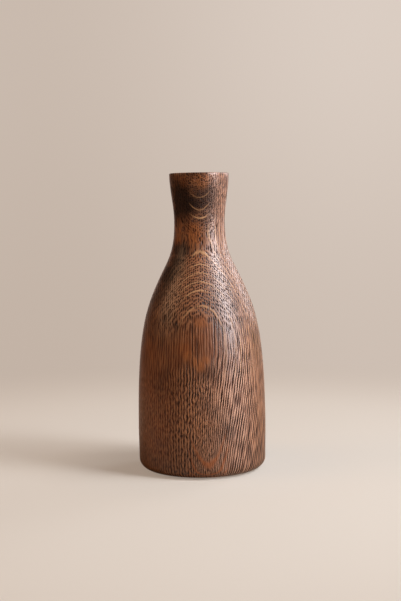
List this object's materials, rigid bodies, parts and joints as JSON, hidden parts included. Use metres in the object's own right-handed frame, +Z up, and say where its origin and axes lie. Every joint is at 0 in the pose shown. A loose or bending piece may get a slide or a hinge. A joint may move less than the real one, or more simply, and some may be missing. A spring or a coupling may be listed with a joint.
{
  "type": "bottle vase",
  "caption": "Bottle-shaped turned wooden vase with a narrow flared neck, a lift-out glass water tube hung by its lip in the mouth, and a felt-covered foot.",
  "frame": {"origin": "centre of the underside, on the table", "axes": "+Z up along the turning axis, out of the mouth"},
  "size_m": [0.065, 0.065, 0.15],
  "materials": {
    "wood": "open-grained hardwood, stained dark brown and brushed, satin",
    "felt": "dark pressed felt",
    "glass": "clear drawn glass",
    "silicone": "translucent white silicone, matte"
  },
  "bodies": {
    "vase": {"wooden_body": "wood", "base_felt": "felt"},
    "tube": {"glass_tube": "glass", "tube_seat_ring": "silicone"}
  },
  "joints": [
    {"name": "tube_lift", "type": "slide", "parent": "vase", "child": "tube", "axis": [0, 0, 1], "range_m": [0, 0.135]}
  ]
}
